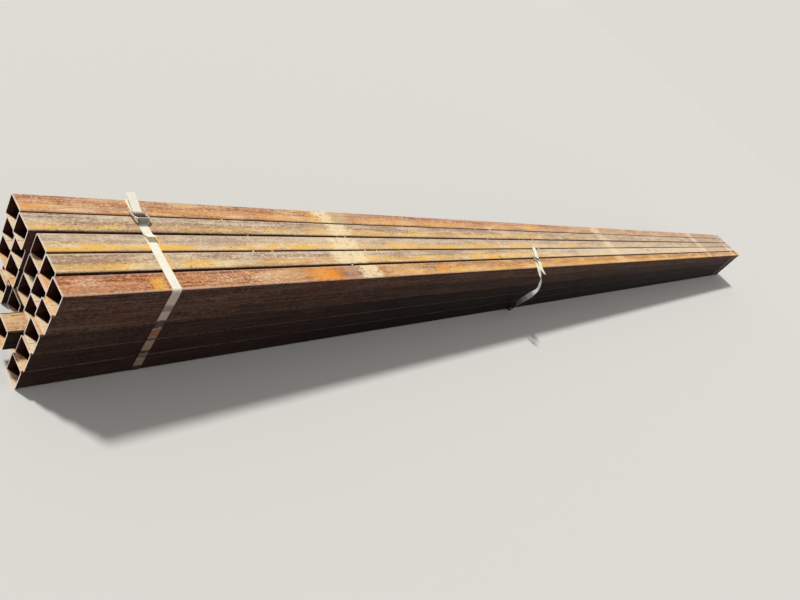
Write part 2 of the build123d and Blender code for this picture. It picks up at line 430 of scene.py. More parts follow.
def side_face(bench, look, start, tube, seen, front):
    """Dark brown with fine level streaks and faint red brown clouds; painted shade darkens the front side
    lower down and farther on.
    """
    side = bench.blend(bench.step(seen.mix, 0.44, 0.57), look.side_dark, look.side_light)
    side = bench.tint(side, look.side_rust, seen.blotches, 0.42, 0.66, 0.6)
    side = bench.tint(side, look.side_light, seen.drift, 0.52, 0.7, 0.4)
    side = bench.blend(bench.times(seen.flecks, 0.1), side, look.tan_light)
    side = bench.blend(bench.times(seen.pits, 0.4), side, look.side_dark)
    side = bench.tint(side, look.side_plain, tube.normal_y, 0.15, 0.5, 0.55)
    # Painted shade: the front faces blend towards the darkest tone as far as the row's Shade asks.
    return bench.blend(front, side, bench.blend(start["Shade"], look.shadow, side))


def rubbed_and_highlit_corners(bench, start, tube, seen):
    """How far the corners between the top and the sides are rubbed and carry a painted highlight."""
    corner = bench.times(bench.step(tube.normal_z, 0.5, 0.75), bench.step(tube.normal_z, 0.998, 0.94))
    rub_and_highlight = bench.plus(
        bench.times(bench.step(tube.normal_y, 0.05, -0.05), start["RubFront"]),
        bench.times(bench.step(tube.normal_y, -0.05, 0.05), start["RubBack"]),
    )
    return bench.times(corner, bench.step(seen.mix, 0.4, 0.54), rub_and_highlight)


def bore_face(bench, look, tube, seen):
    """Dark brown walls with painted shade deeper in, and a wedge of dust at each mouth painted bright
    where the key light falls.
    """
    # Painted light with the dust: the wedge follows the patch of floor that the key light reaches through
    # the mouth.
    dust_and_light_wedge = bench.linear(bench.minus(BORE_HALF, tube.across), DUST_AND_LIGHT_SLOPE, 1 * MM)
    dust_and_light_wedge = bench.math("MINIMUM", dust_and_light_wedge, DUST_AND_LIGHT_DEPTH)
    dust_and_light_wedge = bench.plus(dust_and_light_wedge, bench.sway(seen.grains, 5 * MM))
    past = bench.minus(tube.depth, dust_and_light_wedge)
    floor = bench.step(tube.normal_z, 0.4, 0.8)
    dusty = bench.times(floor, bench.step(past, 2 * MM, -3 * MM))
    bore = bench.blend(bench.step(seen.streaks, 0.4, 0.6), look.bore_wall, look.shadow)
    # Painted shade: paler red brown near the mouth and darker deeper in.
    bore = bench.tint(bore, look.side_rust, tube.depth, 30 * MM, 3 * MM, 0.3)
    bore = bench.tint(bore, look.shadow, tube.depth, 40 * MM, 200 * MM, 0.85)
    dust = bench.blend(bench.step(seen.grains, 0.36, 0.56), look.sand, look.bore_dust_and_light)
    warm = bench.step(bench.math("SINE", bench.times(tube.seed, 2.3)), 0.0, 0.9)
    dust = bench.blend(bench.times(warm, bench.step(seen.blotches, 0.3, 0.55), 0.85), dust, look.bore_warm_dust_and_light)
    return bench.blend(dusty, bore, dust)


def steel_group(look):
    """Colour, roughness and height of a rusty tube, from where a point lies in its section."""
    group, bench, start, end = new_group(
        "rusty_steel",
        {
            "Mouths": "Vector", "Middle": "Vector", "Seed": "Float", "Light": "Color", "Dark": "Color",
            "Stripe": "Color", "Strength": "Float", "Offset": "Float", "Half": "Float", "Edge": "Float",
            "Shade": "Float", "RubFront": "Float", "RubBack": "Float",
        },
        {
            "Colour": "Color", "Roughness": "Float", "Height": "Float", "Top": "Float",
            "Front": "Float", "Place": "Vector",
        },
    )
    tube = tube_section(bench, start)
    seen = steel_patterns(bench, tube.own)
    front = bench.step(tube.normal_y, -0.15, -0.5)
    side = side_face(bench, look, start, tube, seen, front)
    edge = start["Edge"]
    top_share = bench.step(tube.normal_z, edge, bench.linear(edge, 0.2, 0.8))
    skin = bench.blend(top_share, side, top_face(bench, look, start, tube, seen))
    # Worn rust and a painted highlight on the rubbed corners.
    skin = bench.blend(rubbed_and_highlit_corners(bench, start, tube, seen), skin, look.worn)
    skin = bench.blend(tube.inside, skin, bore_face(bench, look, tube, seen))
    saw = bench.noise(tube.own, (40, 900, 260), 2, 0.6)
    sawn = bench.blend(bench.step(saw, 0.22, 0.46), look.tan_light, look.rim)
    outer = bench.times(bench.minus(1.0, tube.inside), bench.minus(1.0, tube.rim))
    bench.fill(
        end,
        Colour=bench.blend(tube.rim, skin, sawn),
        Roughness=bench.plus(0.66, bench.times(seen.blotches, 0.3)),
        Height=bench.plus(bench.times(seen.grains, 0.6), bench.times(seen.streaks, 0.6)),
        Top=bench.times(top_share, outer), Front=bench.times(front, outer), Place=tube.place,
    )
    return group


# Top face of each column: its light, dark and stripe tones at its near end and at its far end. Then,
# also near and far: the stripe's strength, how far its middle lies from the tube's middle and its half
# width, in millimetres. Last, how far the front and the back corner are rubbed and carry a painted
# highlight.
TOPS = {
    1: {
        "near": ("tan_light", "tan_dark", "russet"), "far": ("tan_light", "pale_dark", "sand"),
        "strength": (0.8, 0.3), "offset": (-14, -14), "half": (12, 12), "rubbed_and_highlit": (0.3, 0.5),
    },
    2: {
        "near": ("grey_light", "grey_dark", "gold"), "far": ("grey_light", "pale_dark", "sand"),
        "strength": (0.75, 0.1), "offset": (-13, -13), "half": (9, 9), "rubbed_and_highlit": (0.2, 0.3),
    },
    3: {
        "near": ("grey_light", "pale_dark", "gold"), "far": ("grey_light", "pale_dark", "sand"),
        "strength": (0.95, 0.5), "offset": (-17, -17), "half": (12, 12), "rubbed_and_highlit": (0.2, 0.6),
    },
    4: {
        "near": ("grey_light", "grey_dark", "gold"), "far": ("pale_light", "grey_light", "sand"),
        "strength": (0.95, 0.5), "offset": (-15, -15), "half": (13, 13), "rubbed_and_highlit": (0.2, 0.3),
    },
    5: {
        "near": ("brick_light", "brick_dark", "worn"), "far": ("ochre", "tan_dark", "gold"),
        "strength": (0.75, 0.75), "offset": (-27, -18), "half": (3, 12), "rubbed_and_highlit": (0.9, 0.6),
    },
}
LOWER_TOP = {
    "near": ("tan_light", "tan_dark", "gold"), "far": ("tan_light", "tan_dark", "gold"),
    "strength": (0.6, 0.6), "offset": (0, 0), "half": (22, 22), "rubbed_and_highlit": (0.14, 0.0),
}
# Where each column goes from its near tones to its far ones, in metres
TURNS = {1: (-1.9, 0.4), 2: (-1.6, 0.8), 3: (-1.6, 0.8), 4: (-2.0, 0.0), 5: (-2.8, -2.45)}
# How upright a face has to stand to count as a top face, in the top row and in the rows below it
TOP_EDGE, LOWER_EDGE = 0.6, 0.985
# Painted shade on the front side of each row: how light it stays at its near end and farther on, and where
# it turns, in metres
FRONT_SHADE = {1: (0.64, 0.58), 2: (0.6, 0.34), 3: (0.26, 0.09), 4: (0.18, 0.05), 5: (0.17, 0.02)}
SHADE_TURN = (-3.5, -2.2)
# Grey band at the far end of the front side: how much of it shows in each row, and how far from the
# end it begins and is full
END_BAND = {1: 0.42, 2: 0.24}
END_BAND_REACH = (125 * MM, 75 * MM)
# Fine scratches across the tops: their angle, and the size of their noise along and across it
SCRATCH_ANGLE = math.radians(-69)
SCRATCH_SIZE = (15 * MM, 4.2 * MM, 1)
# A mark narrower than this to either side stays on the tube that its middle lies on, in millimetres
WIDE_MARK = 60

# Marks on the top faces, in millimetres: middle x and y, half length along x, half width along y,
# blur, strength, the tone that they show and their pattern
MARKS = [
    # Dust where spacers lay across the tubes, about 2.5 m apart
    (-2680, 28, 130, 170, 70, 0.45, "sand", "cloud"),
    (-2730, 161, 46, 50, 34, 0.6, "gold", "cloud"),
    (-2682, 161, 50, 50, 34, 1.0, "dust", "cloud"),
    (-2650, 97, 66, 50, 40, 1.0, "dust", "cloud"),
    (-2672, 30, 80, 50, 42, 1.0, "dust", "cloud"),
    (-2690, -36, 96, 50, 44, 1.0, "dust", "cloud"),
    (-2650, -106, 64, 50, 34, 1.0, "dust", "cloud"),
    (-2735, -106, 46, 50, 24, 0.7, "mauve", "cloud"),
    (-2790, -104, 26, 30, 16, 0.55, "side_rust", "cloud"),
    (-139, 28, 75, 175, 30, 0.7, "dust", "cloud"),
    (2310, 28, 70, 175, 30, 0.7, "dust", "cloud"),
    # Grey film beside the dust, duller stretches and scuffs
    (-2606, 161, 40, 50, 26, 0.75, "moss", "cloud"),
    (2900, 28, 520, 175, 160, 0.55, "mauve", "cloud"),
    (2980, -106, 460, 50, 130, 0.55, "worn", "even"),
    (-300, -106, 900, 50, 300, 0.3, "russet", "even"),
    (-2560, -36, 60, 34, 30, 0.5, "dust", "scratch"),
    (-2690, -99, 18, 14, 5, 0.9, "pit", "speck"),
    (-1690, -62, 14, 14, 8, 0.7, "pit", "cloud"),
    (-1706, -62, 5, 20, 3, 0.5, "shadow", "speck"),
    # Fresh rust in patches
    (-2856, -114, 60, 30, 34, 1.0, "amber", "even"),
    (3120, 0, 120, 40, 60, 0.5, "amber", "cloud"),
    (3060, -36, 110, 30, 60, 0.4, "russet", "cloud"),
    (-2905, -106, 60, 30, 30, 0.6, "russet", "cloud"),
    (-3428, -114, 17, 20, 6, 0.8, "gold", "even"),
    (-3440, -116, 7, 18, 5, 0.6, "amber", "even"),
    (-3366, -5, 4, 60, 2, 0.8, "gold", "even"),
    (-2885, -48, 60, 16, 22, 0.75, "amber", "cloud"),
    (-3040, -46, 60, 12, 30, 0.6, "amber", "cloud"),
    (-2900, 10, 90, 14, 30, 0.6, "gold", "cloud"),
    (-2290, 4, 130, 17, 34, 0.85, "gold", "cloud"),
    (-2440, 72, 45, 14, 22, 0.8, "gold", "cloud"),
    (-1914, 76, 38, 14, 18, 0.8, "gold", "cloud"),
    (-2290, 142, 110, 20, 40, 0.7, "gold", "cloud"),
    (-2215, -112, 50, 22, 20, 0.7, "amber", "cloud"),
    (-1940, -108, 190, 24, 60, 0.55, "russet", "cloud"),
    (-2420, -106, 150, 30, 60, 0.6, "sand", "cloud"),
    (-1830, -36, 100, 26, 40, 0.6, "gold", "cloud"),
    (-1400, -40, 150, 30, 60, 0.55, "gold", "cloud"),
    (-1100, 161, 60, 30, 20, 0.6, "gold", "cloud"),
    (-1140, 92, 55, 26, 20, 0.6, "russet", "cloud"),
    (-720, -106, 600, 24, 90, 0.5, "russet", "cloud"),
    (700, -106, 900, 24, 200, 0.4, "russet", "cloud"),
    # Rubs and scratches across the tubes
    (-3000, 28, 80, 28, 30, 0.9, "sparkle", "scratch"),
    (-2960, -28, 150, 22, 40, 0.95, "sparkle", "scratch"),
    (-3160, -100, 120, 24, 30, 0.75, "sparkle", "scratch"),
    (-3600, -96, 40, 14, 16, 0.6, "worn", "cloud"),
    (-3585, -102, 34, 10, 12, 0.35, "sparkle", "speck"),
    (-3360, 150, 60, 26, 20, 0.4, "sparkle", "scratch"),
    (-1599, 90, 7, 26, 4, 0.65, "sparkle", "speck"),
    (-1588, 28, 11, 24, 5, 0.6, "sparkle", "speck"),
    (-1721, -98, 4, 26, 3, 0.6, "sparkle", "speck"),
    (-2440, 150, 50, 20, 12, 0.7, "sparkle", "scratch"),
    (-2520, -53, 34, 14, 10, 0.8, "sparkle", "scratch"),
    (-1935, -40, 34, 16, 10, 0.6, "sparkle", "scratch"),
    (-2340, 60, 900, 30, 300, 0.25, "sparkle", "scratch"),
    (-1300, 20, 500, 60, 200, 0.3, "sparkle", "scratch"),
]


class BUNDLE_OT_finish_tubes(bpy.types.Operator):
    """Gives every tube its mill scale, rust, marks, sawn rims and bore"""

    bl_idname = "bundle.finish_tubes"
    bl_label = "Finish tubes"

    def execute(self, context):
        look = context.scene.bundle_tubes
        soft_box = soft_box_group()
        steel = steel_group(look)
        for row in range(1, ROWS + 1):
            for column in range(1, COLUMNS + 1):
                node = f"tube_row{row}_column{column}"
                paint(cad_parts[node], self.dress(look, steel, soft_box, row, column, *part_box(node)))
        return {"FINISHED"}

    def dress(self, look, steel, soft_box, row, column, low, high):
        """The material of the tube in a row and a column, whose box goes from low to high."""
        top = TOPS[column] if row == 1 else LOWER_TOP
        rub_and_highlight_front, rub_and_highlight_back = top["rubbed_and_highlit"]
        near_shade, far_shade = FRONT_SHADE[row]
        material, bench, shader = new_material(f"steel_{row}_{column}")
        x, _, _ = bench.parts(bench.add("TexCoord").outputs["Object"])
        farther = bench.step(x, *TURNS[column])
        light, dark, stripe = (
            bench.blend(farther, getattr(look, near), getattr(look, far))
            for near, far in zip(top["near"], top["far"])
        )
        strength, offset, half = (
            bench.linear(farther, far - near, near)
            for near, far in (top["strength"], top["offset"], top["half"])
        )
        # Painted shade of the front side, by row and along the tube.
        shade = bench.linear(bench.step(x, *SHADE_TURN), far_shade - near_shade, near_shade)
        skin = use_group(
            bench, steel,
            Mouths=(low.x, high.x, 0), Middle=(low + high) / 2, Seed=row * ROW_SEED + column * COLUMN_SEED,
            Light=light, Dark=dark, Stripe=stripe,
            Strength=strength, Offset=bench.times(offset, MM), Half=bench.times(half, MM),
            Edge=TOP_EDGE if row == 1 else LOWER_EDGE, Shade=shade,
            RubFront=rub_and_highlight_front, RubBack=rub_and_highlight_back,
        )
        finish = skin["Colour"]
        if row == 1:
            finish = self.add_marks(bench, soft_box, look, skin, finish, low, high)
        if column == COLUMNS and row in END_BAND:
            begin, full = END_BAND_REACH
            band = bench.times(
                bench.step(x, high.x - begin, high.x - full), skin["Front"], END_BAND[row]
            )
            finish = bench.blend(band, finish, look.end_grey)
        set_finish(bench, shader, finish, skin["Roughness"])
        shader.inputs["Specular IOR Level"].default_value = 0.1
        add_bump(bench, shader, skin["Height"], 0.5, 0.4 * MM)
        return material

    def add_marks(self, bench, soft_box, look, skin, finish, low, high):
        """Lays the marks that cross this tube over its finish."""
        place = skin["Place"]
        rough = bench.noise(place, (45, 90, 90), 5, 0.7)
        fine = bench.noise(place, (150, 210, 210), 3, 0.65)
        turned = bench.add(
            "Mapping", place, (0, 0, 0), (0, 0, SCRATCH_ANGLE), SCRATCH_SIZE, vector_type="TEXTURE"
        )
        scratches = bench.step(bench.noise(turned.outputs[0], (1, 1, 1), 2, 0.6), 0.58, 0.68)
        specks = bench.step(fine, 0.5, 0.58)
        patterns = {"scratch": scratches, "speck": specks, "even": bench.step(fine, 0.3, 0.55)}
        clumps = bench.linear(bench.minus(rough, 0.5), 3.2, -0.15)
        grit = bench.linear(bench.step(fine, 0.4, 0.58), 0.55, 0.45)
        for x, y, half_x, half_y, blur, strength, tone, pattern in MARKS:
            reach = half_y if half_y >= WIDE_MARK else 0
            if (y + reach) * MM < low.y or (y - reach) * MM > high.y:
                continue
            box = use_group(
                bench, soft_box, Place=place, Middle=(x * MM, y * MM, high.z),
                Half=(half_x * MM, half_y * MM, 1.0), Blur=blur * MM,
            )
            share = box["Share"]
            if pattern == "cloud":
                share = bench.times(bench.step(bench.plus(share, clumps), 0.3, 0.85), share, grit)
            else:
                share = bench.times(share, patterns[pattern])
            share = bench.times(share, skin["Top"], strength)
            finish = bench.blend(share, finish, getattr(look, tone))
        return finish


# Bands down a strap's side runs, in millimetres of height: from, to, tone and strength. They are dirt
# and rust stains, and with the grime and stain tones also painted shade that darkens the runs lower down
NEAR_BANDS = [
    (-5, 316, "grime_and_shade", 0.97), (240, 262, "stain", 0.55), (209, 238, "stain", 0.16),
    (174, 209, "stain", 0.95), (138, 174, "rust", 0.97), (124, 139, "stain", 0.97),
    (90, 126, "brown", 0.95), (76, 91, "stain", 0.97), (56, 78, "stain", 0.75), (30, 56, "brown", 0.9),
    (-5, 30, "stain", 0.97),
]
# A band whose top is higher than this ends there in a straight line
STRAIGHT_END = 300
# Dirt and painted shade on top of the near strap where it slopes down from its buckle's front bar,
# in millimetres: from y, to y, above height and strength
NEAR_SCUFF_AND_SHADE = (85, 107, 300, 0.85)
FAR_BANDS = [(-5, 316, "brown", 0.85)]
# The loose strap's haze and stain bands paint its shade below the lit part of its bow, darker lower down;
# they are partly dirt.
LOOSE_BANDS = [
    (-5, 219, "haze_and_shade", 0.8), (-5, 168, "stain", 0.4), (-5, 134, "stain", 0.45), (-5, 77, "stain", 0.75),
]
# Where a strap hangs free, light shines through it: from this height down to that, in metres
FREE_BELOW = (300 * MM, 288 * MM)


class BUNDLE_OT_finish_straps(bpy.types.Operator):
    """Gives the straps their corded fabric with its dirt, rust stains and painted shade"""

    bl_idname = "bundle.finish_straps"
    bl_label = "Finish straps"

    def execute(self, context):
        look = context.scene.bundle_straps
        near = strap_material(look, "strap_cords", NEAR_BANDS, scuff_and_shade=NEAR_SCUFF_AND_SHADE)
        paint(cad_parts["strap_near"], near)
        far = strap_material(look, "strap_cords_far", FAR_BANDS)
        paint(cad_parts["strap_far"], far)
        return {"FINISHED"}


def strap_material(look, name, bands, attribute=None, scuff_and_shade=None):
    """Corded strap. Across it runs x, or the named attribute on a strap that twists and hangs free."""
    material, bench, shader = new_material(name)
    place = bench.add("TexCoord").outputs["Object"]
    x, y, z = bench.parts(place)
    across = bench.add("Attribute", attribute_name=attribute).outputs["Fac"] if attribute else x
    turns = bench.math("DIVIDE", across, look.cord_pitch / math.tau)
    cords = bench.plus(bench.times(bench.math("SINE", turns), 0.5), 0.5)
    patches = bench.noise(place, (26, 26, 26), 4, 0.65, 0.4)
    specks = bench.noise(place, (260, 260, 260), 2, 0.6)
    fabric = bench.tint(look.fabric, look.soil, patches, 0.5, 0.75, 0.3)
    fabric = bench.tint(fabric, look.brown, specks, 0.63, 0.7, 0.6)
    fabric = bench.tint(fabric, look.soil, cords, 0.35, 0.0, 0.15)
    level = bench.plus(z, bench.sway(patches, 24 * MM))
    wear = bench.linear(bench.step(patches, 0.35, 0.6), 0.06, 0.94)
    # Bands of dirt and, with the grime, stain and haze tones, painted shade.
    for bottom, top, tone, strength in bands:
        above = bench.step(level, (bottom - 5) * MM, (bottom + 5) * MM)
        below = bench.step(z if top > STRAIGHT_END else level, (top + 3) * MM, (top - 7) * MM)
        fabric = bench.blend(bench.times(above, below, wear, strength), fabric, getattr(look, tone))
    # Dirt and painted shade where the strap slopes down from the buckle's front bar.
    if scuff_and_shade:
        front, back, low, strength = scuff_and_shade
        behind = bench.step(y, (front - 3) * MM, (front + 3) * MM)
        before = bench.step(y, (back + 2) * MM, (back - 2) * MM)
        on_top = bench.step(z, (low - 5) * MM, low * MM)
        wear = bench.linear(bench.step(patches, 0.4, 0.6), 0.2, 0.8)
        fabric = bench.blend(bench.times(behind, before, on_top, wear, strength), fabric, look.scuff_and_shade)
    set_finish(bench, shader, fabric, 0.55)
    shader.inputs["Specular IOR Level"].default_value = 0.2
    if attribute:
        bench.put(shader.inputs["Subsurface Weight"], bench.times(bench.step(z, *FREE_BELOW), 0.8))
        shader.inputs["Subsurface Radius"].default_value = (1.0, 0.95, 0.85)
        shader.inputs["Subsurface Scale"].default_value = 4 * MM
    add_bump(bench, shader, cords, 0.6, 0.25 * MM)
    return material


def wire_material(look):
    """Dull galvanised wire."""
    material, bench, shader = new_material("buckle_wire")
    place = bench.add("TexCoord").outputs["Object"]
    spangle = bench.noise(place, (240, 240, 240), 3, 0.6)
    tone = bench.blend(bench.step(spangle, 0.4, 0.6), look.wire, look.wire_dark)
    set_finish(bench, shader, tone, bench.plus(0.3, bench.times(spangle, 0.25)))
    shader.inputs["Metallic"].default_value = 0.55
    return material


class BUNDLE_OT_finish_buckles(bpy.types.Operator):
    """Gives the tight straps' buckles their galvanised wire"""

    bl_idname = "bundle.finish_buckles"
    bl_label = "Finish buckles"

    def execute(self, context):
        material = wire_material(context.scene.bundle_straps)
        for name in ("buckle_near", "buckle_far"):
            paint(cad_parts[name], material)
        return {"FINISHED"}


def smooth_path(points, step):
    """Points about a step apart on a smooth line through the given ones.

    Each comes with the number of the stretch that it lies on and its share of that stretch.
    """
    ends = [2 * points[0] - points[1], *points, 2 * points[-1] - points[-2]]
    made = []
    for stretch, (a, b, c, d) in enumerate(zip(ends, ends[1:], ends[2:], ends[3:])):
        count = max(2, round((c - b).length / step))
        for n in range(count):
            t = n / count
            point = 0.5 * (2 * b + (c - a) * t + (2 * a - 5 * b + 4 * c - d) * t * t
                           + (3 * b - a - 3 * c + d) * t ** 3)
            made.append((point, stretch, t))
    made.append((points[-1], len(points) - 2, 1.0))
    return made


def read_station(x, y, z, across_x=1, across_y=0, across_z=0, share=1.0):
    """A station's place in metres, its direction across and its share of the strap's width."""
    return Vector((x, y, z)) * MM, Vector((across_x, across_y, across_z)).normalized(), share


def ribbon(name, stations, sizes):
    """A strap through stations of place, direction across and, where it tapers, share of the width."""
    places, directions, shares = zip(*(read_station(*station) for station in stations))
    line = smooth_path(places, sizes.step)
    last = len(line) - 1
    ribs = 6
    vertices, across_values, faces = [], [], []
    for k, (point, stretch, t) in enumerate(line):
        ahead = (line[min(k + 1, last)][0] - line[max(k - 1, 0)][0]).normalized()
        across = directions[stretch].lerp(directions[stretch + 1], t)
        side = (across - ahead * across.dot(ahead)).normalized()
        face = side.cross(ahead)
        width = sizes.width * (shares[stretch] + (shares[stretch + 1] - shares[stretch]) * t)
        for level in (0.5, -0.5):
            for rib in range(ribs + 1):
                reach = (rib / ribs - 0.5) * width * (1 if level > 0 else -1)
                vertices.append(point + side * reach + face * level * sizes.thickness)
                across_values.append(reach)
    ring = 2 * (ribs + 1)
    for k in range(last):
        for n in range(ring):
            m = (n + 1) % ring
            faces.append((k * ring + n, k * ring + m, (k + 1) * ring + m, (k + 1) * ring + n))
    for k in (0, last):
        for rib in range(ribs):
            corners = (rib, rib + 1, ring - 2 - rib, ring - 1 - rib)
            cap = tuple(k * ring + n for n in corners)
            faces.append(cap if k == 0 else cap[::-1])
    made = new_shape(name, vertices, faces)
    made.data.attributes.new("across", "FLOAT", "POINT").data.foreach_set("value", across_values)
    made.data.validate()
    return made


# The direction of the loose strap's buckle bars, which the strap has across it there
BAR = (0.766, -0.643, 0)
# The loose strap, in millimetres: place, direction across and share of the width, from the tapered end
# of its lap round the buckle's front bar, over the front edge, down in a bow, and under the bundle to
# its end behind it
LOOSE_STRAP = [
    (-1383, -179, 311, 0.5, -0.86, 0, 0.1),
    (-1387, -170, 313, 0.5, -0.86, 0, 0.32),
    (-1392, -157, 316.5, 0.6, -0.8, 0, 0.5),
    (-1395, -142, 321.5, 0.7, -0.7, 0, 0.7),
    (-1392, -127, 328, *BAR, 0.85),
    (-1386, -113, 331.5, *BAR),
    (-1378, -101, 328.5, *BAR),
    (-1375, -97.5, 324.2, *BAR),
    (-1378, -101, 320.4, *BAR),
    (-1388, -112, 319.6, *BAR),
    (-1400, -126, 319.8, *BAR),
    (-1408, -137, 318.4, 0.9, -0.43, 0),
    (-1413, -149, 312, 0.99, -0.1, 0.02),
    (-1413, -160, 306),
    (-1413, -169, 300, 1, 0.03, 0),
    (-1416, -183, 292, 0.9, 0.3, -0.2),
    (-1425, -197, 283, 0.59, 0.3, -0.75),
    (-1432, -210, 268, 0.67, 0.62, -0.42),
    (-1430, -216, 247, 0.65, 0.76, -0.01),
    (-1428, -214, 224, 0.56, 0.77, 0.29),
    (-1418, -205, 192, -0.12, 0.96, 0.25),
    (-1399, -192, 153, -0.11, 0.96, 0.27),
    (-1382, -179, 114, 0.06, 0.94, 0.34),
    (-1368, -170, 85, 0.47, 0.72, 0.51),
    (-1339, -160, 48, 0.61, 0.54, 0.58),
    (-1318, -153, 20, 0.8, 0.3, 0.45),
    (-1309, -146, 8.5, 1, 0.1, 0.1),
    (-1306, -139, 2.6),
    (-1306, -134, 1.1),
    (-1306.5, -127, 0.65),
    (-1307.5, -117, 0.6),
    (-1309.5, -100, 0.6),
    (-1313, -72, 0.6),
    (-1318.5, -28, 0.6),
    (-1327, 40, 0.6),
    (-1335, 110, 0.6),
    (-1339, 145, 0.6),
    (-1341, 167, 0.6),
    (-1342, 179, 0.6),
    (-1342, 185.5, 0.65),
    (-1342, 190.5, 1.6),
    (-1342, 193.1, 4.1),
    (-1342, 194.1, 8),
    (-1342, 194.4, 20),
    (-1342, 194.4, 40),
    (-1342, 194.4, 75),
    (-1342, 195, 120),
    (-1342, 199, 165),
    (-1343, 208, 204, 1, 0.1, 0),
]

# The short piece that stays on the buckle's back bar
STRAP_STUB = [
    (-1325, -38, 319.7, *BAR),
    (-1345, -62, 319.7, *BAR),
    (-1354, -73, 320.4, *BAR),
    (-1357, -76.4, 324.2, *BAR),
    (-1354, -73, 328.4, *BAR),
    (-1338, -54, 329, *BAR),
    (-1320, -32, 330, 0.78, -0.62, 0),
    (-1303, -8, 333, 0.8, -0.6, 0, 0.8),
]


# The loose strap's buckle: its middle, turn and tilt, and half its width and length along the wire's
# middle, and the radius of its corners, in millimetres and degrees
BUCKLE_MIDDLE = (-1366, -87, 324.3)
BUCKLE_TURN, BUCKLE_TILT = -40, -4
BUCKLE_HALF_WIDTH, BUCKLE_HALF_LENGTH, BUCKLE_CORNER = 20, 18.5, 5


def wire_ring(name, middle, turn, sizes):
    """A closed rectangle of round wire with rounded corners, turned about its middle."""
    corner = BUCKLE_CORNER * MM
    reach_x, reach_y = BUCKLE_HALF_WIDTH * MM - corner, BUCKLE_HALF_LENGTH * MM - corner
    bends, sides = 6, 16
    path = []
    for quadrant, (sx, sy) in enumerate(((1, 1), (-1, 1), (-1, -1), (1, -1))):
        for n in range(bends + 1):
            angle = math.radians(90 * quadrant + 90 / bends * n)
            path.append(Vector((
                sx * reach_x + corner * math.cos(angle), sy * reach_y + corner * math.sin(angle), 0
            )))
    vertices, faces = [], []
    for k, point in enumerate(path):
        ahead = (path[(k + 1) % len(path)] - path[k - 1]).normalized()
        out = Vector((ahead.y, -ahead.x, 0))
        for n in range(sides):
            angle = math.tau * n / sides
            spot = point + (out * math.cos(angle) + Vector((0, 0, 1)) * math.sin(angle)) * sizes.wire / 2
            vertices.append(middle + turn @ spot)
    for k in range(len(path)):
        j = (k + 1) % len(path)
        for n in range(sides):
            m = (n + 1) % sides
            faces.append((k * sides + n, j * sides + n, j * sides + m, k * sides + m))
    made = new_shape(name, vertices, faces)
    made.data.shade_smooth()
    return made


class BUNDLE_OT_make_loose_strap(bpy.types.Operator):
    """Makes the loose strap with its twist, its short piece and its buckle"""

    bl_idname = "bundle.make_loose_strap"
    bl_label = "Make loose strap"

    def execute(self, context):
        sizes = context.scene.bundle_loose_strap
        look = context.scene.bundle_straps
        material = strap_material(look, "strap_cords_loose", LOOSE_BANDS, "across")
        for name, stations, node in (
            ("loose_strap", LOOSE_STRAP, "strap_slack"),
            ("loose_strap_stub", STRAP_STUB, "strap_slack_stub"),
        ):
            strap = ribbon(name, stations, sizes)
            paint(strap, material)
            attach(strap, "root")
            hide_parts(node)
        turn = Matrix.Rotation(math.radians(BUCKLE_TURN), 3, "Z")
        turn = turn @ Matrix.Rotation(math.radians(BUCKLE_TILT), 3, "X")
        ring = wire_ring("loose_buckle", Vector(BUCKLE_MIDDLE) * MM, turn, sizes)
        paint(ring, wire_material(look))
        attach(ring, "root")
        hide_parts("buckle_slack")
        return {"FINISHED"}


def dirt_material(look):
    """Dry dirt whose tone goes from pale dust to dark rust from one clod to the next."""
    material, bench, shader = new_material("loose_dirt")
    place = bench.add("TexCoord").outputs["Object"]
    tone = bench.noise(place, (31, 31, 31), 1, 0.5)
    grit = bench.noise(place, (400, 400, 400), 2, 0.6)
    finish = bench.blend(bench.step(tone, 0.4, 0.55), look.pit, look.tan_light)
    finish = bench.blend(bench.step(tone, 0.5, 0.62), finish, look.sparkle)
    finish = bench.blend(bench.step(grit, 0.5, 0.3), finish, look.tan_dark)
    set_finish(bench, shader, finish, 0.9)
    return material


# Clods that lie in the seams between the top faces, in millimetres: x, seam in front of a column, size
SEAM_CLODS = [
    (-2255, 1, 5), (-1700, 1, 4.5), (-1560, 1, 5), (-1400, 1, 4), (-1215, 3, 5), (-1660, 2, 4),
    (-1190, 2, 4.5), (-2930, 1, 3.5), (-3080, 3, 3.5), (-2590, 3, 3),
]
# How far loose dirt keeps from the tubes' ends and crumbs from the rounded corners, in metres
END_ROOM = 0.1
CORNER_ROOM = 8 * MM


